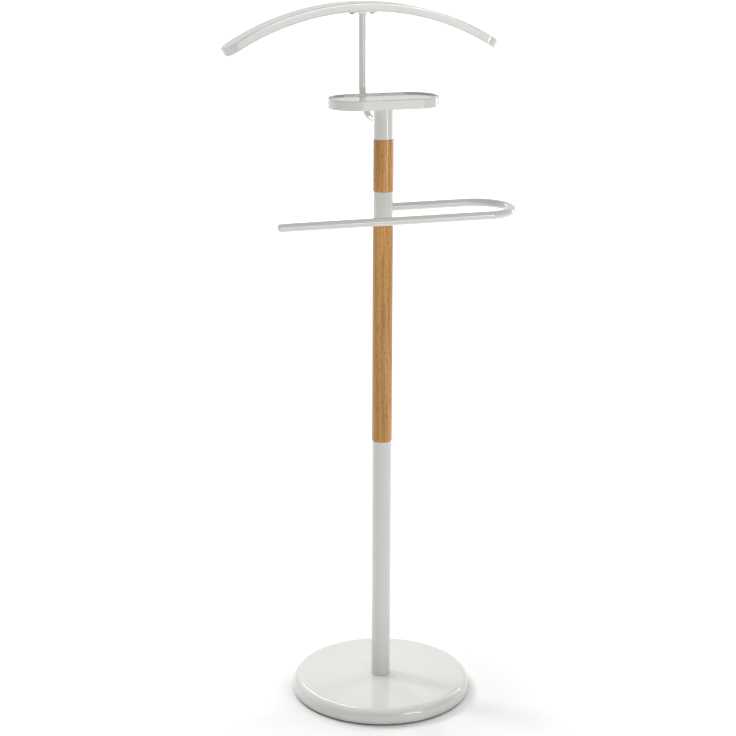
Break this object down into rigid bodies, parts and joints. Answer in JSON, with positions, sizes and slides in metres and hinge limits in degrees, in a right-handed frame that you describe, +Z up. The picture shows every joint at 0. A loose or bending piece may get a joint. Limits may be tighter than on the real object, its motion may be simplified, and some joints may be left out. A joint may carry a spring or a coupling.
{
  "type": "valet stand",
  "caption": "Free-standing valet stand: weighted round base, tube and wood post, U-shaped trouser bar, small tray and arched hanger on a bent rod.",
  "frame": {"origin": "on the post's axis at the floor, the centre of the bottom of the bounding box", "axes": "+Z up the post; +X along the hanger towards the side of the trouser bar's turn; +Y to the back, where the hanger rod stands"},
  "size_m": [0.438, 0.28, 1.0787],
  "materials": {
    "white_paint": "gloss",
    "underside_paint": "satin",
    "wood": "satin lacquer",
    "white_lacquer": "gloss lacquer",
    "plated_steel": "zinc plated",
    "screw_steel": "plated",
    "ballast_iron": "as cast",
    "pad_rubber": "matte",
    "white_plastic": "gloss"
  },
  "bodies": {
    "root": {"base_cover": "white_paint", "base_plate": "underside_paint", "ballast_disc": "ballast_iron", "anti_slip_pads": "pad_rubber", "base_bolt": "plated_steel", "base_washer": "plated_steel", "base_spring_washer": "plated_steel", "lower_tube": "white_paint", "lower_tube_foot_plug": "plated_steel", "lower_tube_top_plug": "plated_steel", "long_wood_section": "wood", "long_wood_insert_bottom": "plated_steel", "long_wood_insert_top": "plated_steel", "collar_tube": "white_paint", "collar_plug_bottom": "plated_steel", "collar_plug_top": "plated_steel", "short_wood_section": "wood", "short_wood_insert_bottom": "plated_steel", "short_wood_insert_top": "plated_steel", "upper_tube": "white_paint", "upper_tube_plug_bottom": "plated_steel", "upper_tube_plug_top": "plated_steel", "joint_studs": "plated_steel", "trouser_bar": "white_paint", "trouser_bar_end_plug": "white_plastic", "tray_rim": "white_paint", "tray_plate": "white_paint", "tray_stud": "plated_steel", "hanger_rod": "white_paint", "rod_top_plate": "white_paint", "hanger_screws": "screw_steel", "hanger_body": "white_lacquer"}
  },
  "joints": []
}
